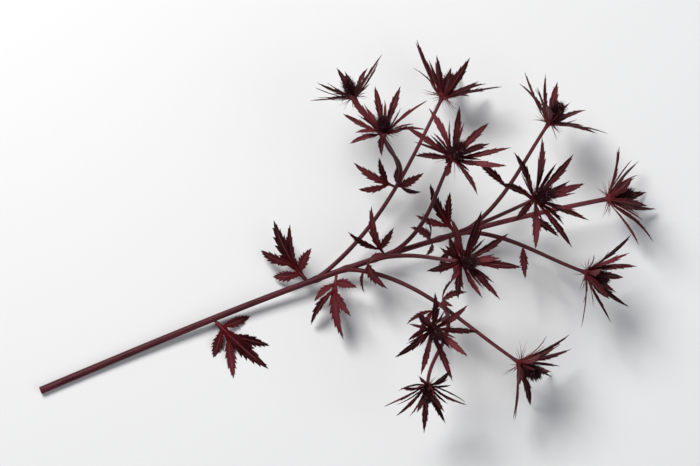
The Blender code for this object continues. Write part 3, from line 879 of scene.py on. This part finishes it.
# Where a leaf leaves its stalk, and its axes
def leafFrame(plan, shoot, rootWidth):
    centre, runs = shoot.spot(plan["at"])
    points = direction(*plan["points"])
    level = Vector((0, 0, 1)).cross(points).normalized()
    across = Matrix.Rotation(math.radians(plan["roll"]), 3, points) @ level
    facing = points.cross(across)
    halfWidth, halfThick = across * rootWidth / 2, facing * leafSize["bladeThickness"] / 2
    corners = [halfWidth * y + halfThick * z for y in (-1, 1) for z in (-1, 1)]
    clear = shoot.plainRadius(plan["at"]) + stalkSize["seatGap"]
    away = 0.0
    while min(runs.cross(points * away + c).length for c in corners) < clear:
        away += leafSize["seatStep"]
    frame = Matrix((points, across, facing)).transposed().to_4x4()
    return Matrix.Translation(centre + points * away) @ frame, away


# The leaf's stalk: it starts inside the stem and runs out under the middle lobe's midrib
def petiolePlan(plan, middle, away):
    own, thick = leafSize, plan["length"] * leafSize["petioleShare"]
    return dict(
        middle, root=Vector((-away, 0.0, -own["petioleSink"])), azimuth=0.0, twist=0.0, crease=0.0, hook=0.0,
        bend=middle["bend"] * own["petioleBend"], lift=middle["lift"] * own["petioleLift"],
        length=away + plan["length"] * own["petioleReach"], width=thick, thick=thick,
        blade_number=bladeNumbers["needle"][0],
    )


# The nodes of a finish. The numbers that a user would change are in each look's
# dictionary, and what stays the same all over is on the shader's own sockets.
class Skin(Graph):
    def __init__(self, name, constants):
        self.material = bpy.data.materials.new(name)
        self.material.use_nodes = True
        super().__init__(self.material.node_tree)
        self.inputs = self.tree.nodes["Principled BSDF"].inputs
        for label, value in constants.items():
            self.inputs[label].default_value = value

    # A value that the piece's mesh carries
    def carried(self, name, output="Fac"):
        return self.add("ShaderNodeAttribute", output=output, attribute_name=name)

    # A place in the piece's own space
    def place(self):
        return self.add("ShaderNodeTexCoord", output="Object")

    # A ground with coats over it, each as how much of it covers and its colour in the look
    def paint(self, look, ground, coats):
        colour = look[ground]
        for share, name in coats:
            sockets = {"Factor": share, "A": colour, "B": look[name]}
            colour = self.add("ShaderNodeMix", sockets, data_type="RGBA")
        return colour

    # Links what changes over the surface, with its relief as a bump of this strength and depth
    def wear(self, strength, depth, relief, links):
        links["Normal"] = self.add("ShaderNodeBump", {
            "Strength": strength, "Distance": depth, "Height": relief})
        for label, signal in links.items():
            self.tree.links.new(signal.socket, self.inputs[label])
        return self.material


# Colours of the bracts and the leaves: the powdery rose is partly a painted highlight, the saturated red at
# the roots is a painted glow of light shining through, and the pale rib colour also paints a highlight along
# the rims
bractLook = dict(
    deep=(0.0125, 0.0004, 0.0013, 1), dustAndHighlight=(0.152, 0.0300, 0.0375, 1), paintedGlow=(0.118, 0.0010, 0.0036, 1),
    rib=(0.270, 0.082, 0.088, 1), tip=(0.014, 0.001, 0.002, 1), glint=(0.42, 0.24, 0.23, 1),
    veins=15, slant=0.16, streaks=(15.0, 2.4), sheen=0.008, gloss=0.45,
)
leafLook = dict(
    deep=(0.0120, 0.0005, 0.0014, 1), dustAndHighlight=(0.110, 0.0185, 0.0245, 1), paintedGlow=(0.092, 0.0012, 0.0038, 1),
    rib=(0.200, 0.054, 0.060, 1), tip=(0.014, 0.001, 0.002, 1), glint=(0.36, 0.20, 0.19, 1),
    veins=11, slant=0.26, streaks=(11.0, 3.2), sheen=0.008, gloss=0.38,
)


# A leathery blade: redder at its root as a painted glow of light shining through it, with a pale midrib and
# fine veins, rims painted pale as a highlight, and a powdery rose film that is partly a painted highlight
def bladeSkin(name, look):
    skin = Skin(name, {
        "Sheen Weight": look["sheen"], "Sheen Roughness": 0.45, "Sheen Tint": (1.0, 0.72, 0.74, 1.0),
        "Specular IOR Level": 0.04, "Coat Roughness": 0.30})
    u, v = skin.split(skin.add("ShaderNodeUVMap", uv_map="blade"))[:2]
    aside = abs(u - 0.5) * 2.0
    place, tone, under = skin.place(), skin.carried("tone"), skin.carried("under")
    patches = skin.noise(place, 95.0, 3.0)
    grain = skin.noise(place, 1500.0, 2.0)
    across, along = look["streaks"]
    streaks = skin.noise(skin.join(u * across, v * along, tone * 40.0), 1.0, 3.0, 0.6)
    count = v * look["veins"] - aside * (look["slant"] * look["veins"])
    near = abs(skin.work("FRACT", count) - 0.5) * 2.0
    inside = (1.0 - skin.ease(aside, 0.70, 0.98)) * skin.ease(aside, 0.05, 0.15)
    vein = skin.ease(near, 0.74, 1.0) * inside
    rib = (1.0 - skin.ease(aside, 0.02, 0.14)) * (1.0 - skin.ease(v, 0.75, 1.0))
    edge = skin.ease(aside, 0.86, 1.0)
    # Where the powdery rose film shows, by random patches, streaks and tone; its rose is partly a painted
    # highlight
    bloomAndHighlight = skin.ease(patches * 0.28 + streaks * 0.42 + tone * 0.40, 0.36, 0.78)
    colour = skin.paint(look, "deep", (
        (bloomAndHighlight, "dustAndHighlight"),
        # Saturated red towards the root: a painted glow of light shining through the blade
        ((1.0 - skin.ease(v, 0.04, 0.50)) * 0.85, "paintedGlow"),
        # Pale midrib and veins, made paler as a painted highlight, and a painted highlight along the rims
        (vein * 0.30 + rib * 0.60 + edge * 0.30, "rib"),
        (skin.ease(v, 0.84, 1.0) * 0.8, "tip"),
        (skin.ease(v, 0.955, 0.985) * skin.ease(tone, 0.66, 0.70), "glint"),
        (under * 0.18, "dustAndHighlight"),
    ))
    relief = vein * 0.8 + rib * 1.2 + streaks * 1.1 + grain * 0.35 + patches * 0.5
    return skin.wear(0.75, 0.0003, relief, {
        "Base Color": colour, "Roughness": 0.31 + patches * 0.14 + streaks * 0.16 - rib * 0.06,
        "Coat Weight": skin.ease(streaks, 0.54, 0.76) * bloomAndHighlight * look["gloss"]})


stalkLook = dict(
    dark=(0.032, 0.0036, 0.0064, 1), rose=(0.138, 0.0215, 0.0310, 1), plum=(0.026, 0.0046, 0.0105, 1),
    young=(0.225, 0.0460, 0.0600, 1), speck=(0.32, 0.13, 0.14, 1),
)


# A satin stalk with lengthwise streaks in its grooves and small pale specks
def stalkSkin():
    skin = Skin("stalkSkin", {"Coat Roughness": 0.30, "Coat Weight": 0.03, "Specular IOR Level": 0.15})
    x, y = skin.split(skin.carried("around", "Vector"))[:2]
    along, young = skin.carried("along"), skin.carried("young")
    streaks = skin.noise(skin.join(x, y, along * 18.0), 3.2, 3.0)
    fine = skin.noise(skin.join(x, y, along * 55.0), 9.0, 2.0)
    specks = skin.ease(skin.noise(skin.join(x, y, along * 320.0), 3.4, 1.0), 0.70, 0.78)
    rib = skin.cosine(skin.work("ARCTAN2", y, x) * stalkSize["ribs"]) * 0.5 + 0.5
    colour = skin.paint(stalkLook, "dark", (
        (skin.ease(streaks, 0.34, 0.66), "rose"),
        (skin.ease(young, 0.45, 1.0) * skin.ease(streaks, 0.30, 0.70), "young"),
        ((1.0 - rib) * 0.55, "plum"),
        (specks * 0.55, "speck"),
    ))
    return skin.wear(0.6, 0.0002, fine * 0.8 + specks * 0.7 + streaks * 0.3, {
        "Base Color": colour, "Roughness": 0.34 + fine * 0.22})


coneLook = dict(
    pit=(0.0060, 0.0010, 0.0016, 1), body=(0.026, 0.0034, 0.0056, 1), tip=(0.085, 0.020, 0.026, 1),
    glint=(0.34, 0.20, 0.20, 1),
)


# Near-black florets with paler, glinting points
def coneSkin():
    skin = Skin("coneSkin", {"Specular IOR Level": 0.16})
    place, tone, spike = skin.place(), skin.carried("tone"), skin.carried("spike")
    patches = skin.noise(place, 420.0, 3.0)
    grain = skin.noise(place, 2600.0, 2.0)
    colour = skin.paint(coneLook, "pit", (
        (skin.ease(spike, 0.05, 0.55), "body"),
        (skin.ease(spike, 0.60, 1.0) * skin.ease(patches, 0.30, 0.65), "tip"),
        (skin.ease(spike, 0.78, 0.95) * skin.ease(tone, 0.78, 0.84), "glint"),
    ))
    return skin.wear(0.5, 0.0002, grain + patches, {
        "Base Color": colour, "Roughness": 0.36 + patches * 0.16 + grain * 0.08})


pithLook = dict(
    centre=(0.62, 0.50, 0.36, 1), wood=(0.44, 0.30, 0.20, 1), bark=(0.10, 0.015, 0.025, 1), rays=22,
)


# The clean cut: pale pith, a ring of fibres and the dyed skin round it
def pithSkin():
    skin = Skin("pithSkin", {"Specular IOR Level": 0.3})
    place = skin.place()
    x, y, z = skin.split(place - tuple(stalkSize["cutEnd"]))
    spread = (y * y + z * z) ** 0.5 / stalkSize["mainRadii"][0]
    rays = skin.cosine(skin.work("ARCTAN2", z, y) * pithLook["rays"]) * 0.5 + 0.5
    cells = skin.noise(place, 3000.0, 2.0)
    colour = skin.paint(pithLook, "centre", (
        (skin.ease(spread + cells * 0.12, 0.48, 0.66), "wood"),
        (skin.ease(spread, 0.55, 0.8) * rays * 0.5, "centre"),
        (skin.ease(spread, 0.84, 0.92), "bark"),
    ))
    return skin.wear(0.7, 0.0002, cells + rays * skin.ease(spread, 0.5, 0.7) * 0.6, {
        "Base Color": colour, "Roughness": 0.7 + cells * 0.2})


# Building the pieces
bractSkin, leafSkin = bladeSkin("bractSkin", bractLook), bladeSkin("leafSkin", leafLook)
stalkFinish, coneFinish, pithFinish = stalkSkin(), coneSkin(), pithSkin()
print("finishes made")

shoots = growShoots()


def makeStalk():
    curve = bpy.data.curves.new("stalk path", "CURVE")
    curve.dimensions = "3D"
    for name, shoot in shoots.items():
        neckRadius = stalkSize["neckShare"] * ruffSize["cupFootRadius"] * shootPlans[name]["size"]
        steps = round(shoot.length / stalkSize["step"])
        spline = curve.splines.new("POLY")
        spline.points.add(steps + 1)
        for i in range(steps + 1):
            distance = shoot.length * i / steps
            spline.points[i].co = (*shoot.spot(distance)[0], 1.0)
            spline.points[i].radius = shoot.fullRadius(distance, neckRadius)
        if name == "top":
            start = stalkSize["cutEnd"] + stalkSize["cutDirection"].normalized() * stalkSize["cutInset"]
            spline.points[0].co = (*start, 1.0)
        spline.points[-1].co = (*(shoot.points[-1] + shoot.looks * stalkSize["intoHead"]), 1.0)
        spline.points[-1].radius = neckRadius
    path = newObject("stalk path", curve)
    mesh = grown("stalk", stalkTree(), {
        "Path": path, "Ribs": stalkSize["ribs"], "Rib Depth": stalkSize["ribDepth"],
        "Sides": stalkSize["sides"], "Finish": stalkFinish})
    bpy.data.objects.remove(path)
    return finishPiece("stalk", mesh, ["stalk"])


# The clean cut at the lower end, as rings: (share of the radius, height)
cutSize = dict(
    rings=((0.885, -0.00035), (0.885, -0.00006), (0.80, 0.0), (0.64, -0.00004), (0.46, -0.00010)),
    middle=-0.00007, sides=36,
)


def makeCutFace():
    radius, sides = stalkSize["mainRadii"][0], cutSize["sides"]
    placing = standing(stalkSize["cutEnd"], -stalkSize["cutDirection"])
    bm = bmesh.new()
    rings = [[bm.verts.new(placing @ point) for point in ringPoints(share * radius, height, sides)]
             for share, height in cutSize["rings"]]
    rings.append([bm.verts.new(placing @ Vector((0.0, 0.0, cutSize["middle"])))] * sides)
    stackRings(bm, rings)
    mesh = smoothMesh(bm, "cut_face")
    mesh.materials.append(pithFinish)
    return finishPiece("cut_face", mesh)


makeStalk()
makeCutFace()
print("stalk grown, with", len(shoots), "shoots")


# The mesh of one ruff's or one leaf's blades, with the body that carries them
def growBlades(own, plans, placing, finish, **body):
    return grown("blades", blades, {
        "Flat Blades": flatBlades, "Ripple": own["ripple"], "Ripple Scale": own["rippleScale"],
        "Finish": finish, **body}, planMesh("plans", plans, placing))


def makeRuff(name, plan):
    placing = shoots[name].headAxes(stalkSize["seatGap"])
    cup = newObject("cup", cupMesh("cup", plan, placing))
    mesh = growBlades(ruffSize, bractPlans(plan) + smallPlans(plan), placing, bractSkin, Body=cup)
    bpy.data.objects.remove(cup)
    return finishPiece("ruff_" + name, mesh, ["ruff_" + name])


for name, plan in shootPlans.items():
    makeRuff(name, plan)
print("ruffs grown:", len(shootPlans))


def makeLeaf(name, plan, seed):
    plans = lobePlans(plan, seed)
    placing, away = leafFrame(plan, shoots[plan["on"]], plans[0]["width"] * leafSize["waist"])
    plans.append(petiolePlan(plan, plans[0], away))
    mesh = growBlades(leafSize, plans, placing, leafSkin)
    return finishPiece("leaf_" + name, mesh, ["leaf_" + name])


for seed, (name, plan) in enumerate(leafPlans.items(), leafSize["firstSeed"]):
    makeLeaf(name, plainLeaf | plan, seed)
print("leaves grown:", len(leafPlans))

coneThings = {name: ringedShape(name, shape) for name, shape in coneShapes.items()}
cones = coneTree()


def makeCone(name, plan):
    size = plan["size"]
    placing = shoots[name].headAxes(2 * stalkSize["seatGap"] + ruffSize["cupDepth"] * size)
    sizes = {shape + " Size": coneShapes[shape]["size"] * size for shape in coneShapes}
    mesh = grown("cone", cones, {
        "Height": coneSize["height"] * size, "Radius": coneSize["radius"] * size, "Neck": coneSize["neck"],
        "Core Share": coneSize["coreShare"], "Florets": coneSize["florets"],
        "Upward": coneSize["upward"], "Seed": coneSize["seed"] + plan["seed"], **coneThings, **sizes,
        "Place": placing.translation, "Turn": Vector(placing.to_euler()), "Finish": coneFinish})
    return finishPiece("cone_" + name, mesh, ["cone_" + name])


for name, plan in shootPlans.items():
    makeCone(name, plan)
print("cones grown:", len(shootPlans))

for thing in [*coneThings.values(), *flatBlades.objects]:
    bpy.data.objects.remove(thing)
bpy.data.collections.remove(flatBlades)


# Stage, light and camera
stageSize = dict(
    floorHalf=4.0, floorColour=(0.755, 0.762, 0.772, 1), world=(0.93, 0.96, 1.0, 1), worldStrength=0.20,
    aim=Vector((0.020, 0.038, 0.045)), turn=16.0, tilt=14.0, distance=2.0, viewWidth=0.560,
    lookRight=0.004, lookUp=0.023, sensorWidth=36.0, clip=(0.05, 50.0),
)

# Each lamp's place from the aim (right and up in the picture, and height), size, power and colour
lampPlans = {
    "key": dict(place=(-0.9, 1.0, 1.8), size=1.1, power=56.0, colour=(1.0, 0.98, 0.96)),
    "fill": dict(place=(1.4, -0.8, 1.3), size=1.6, power=12.0, colour=(0.95, 0.97, 1.0)),
}


def makeStage():
    bm = bmesh.new()
    bmesh.ops.create_grid(bm, x_segments=1, y_segments=1, size=stageSize["floorHalf"])
    floor = newObject("floor", meshFrom(bm, "floor"))
    paint = Skin("floorPaint", {
        "Base Color": stageSize["floorColour"], "Roughness": 0.75, "Specular IOR Level": 0.2})
    floor.data.materials.append(paint.material)
    world = bpy.data.worlds.new("studio")
    world.use_nodes = True
    background = world.node_tree.nodes["Background"]
    background.inputs["Color"].default_value = stageSize["world"]
    background.inputs["Strength"].default_value = stageSize["worldStrength"]
    bpy.context.scene.world = world
    bpy.context.scene.view_settings.view_transform = "Standard"


# The way right and the way up in the picture, along the floor
def pictureAxes():
    turn = math.radians(stageSize["turn"])
    return Vector((math.cos(turn), -math.sin(turn), 0.0)), Vector((math.sin(turn), math.cos(turn), 0.0))


def makeLamp(name, plan):
    right, up = pictureAxes()
    aside, ahead, height = plan["place"]
    lamp = bpy.data.lights.new(name, "AREA")
    lamp.shape = "DISK"
    lamp.size, lamp.energy, lamp.color = plan["size"], plan["power"], plan["colour"]
    holder = newObject(name, lamp)
    holder.location = stageSize["aim"] + right * aside + up * ahead + Vector((0, 0, height))
    holder.rotation_euler = (stageSize["aim"] - holder.location).to_track_quat("-Z", "Y").to_euler()


def makeCamera():
    right, up = pictureAxes()
    tilt = math.radians(stageSize["tilt"])
    aim = right * stageSize["lookRight"] + up * stageSize["lookUp"]
    aim.z = stageSize["aim"].z
    back = Vector((0, 0, math.cos(tilt))) - up * math.sin(tilt)
    camera = bpy.data.cameras.new("camera")
    camera.sensor_width = stageSize["sensorWidth"]
    camera.lens = camera.sensor_width * stageSize["distance"] / stageSize["viewWidth"]
    camera.clip_start, camera.clip_end = stageSize["clip"]
    holder = newObject("camera", camera)
    holder.location = aim + back * stageSize["distance"]
    holder.rotation_euler = Matrix((right, back.cross(right), back)).transposed().to_euler()
    bpy.context.scene.camera = holder


makeStage()
for name, plan in lampPlans.items():
    makeLamp(name, plan)
makeCamera()
print("stage, lamps and camera placed")
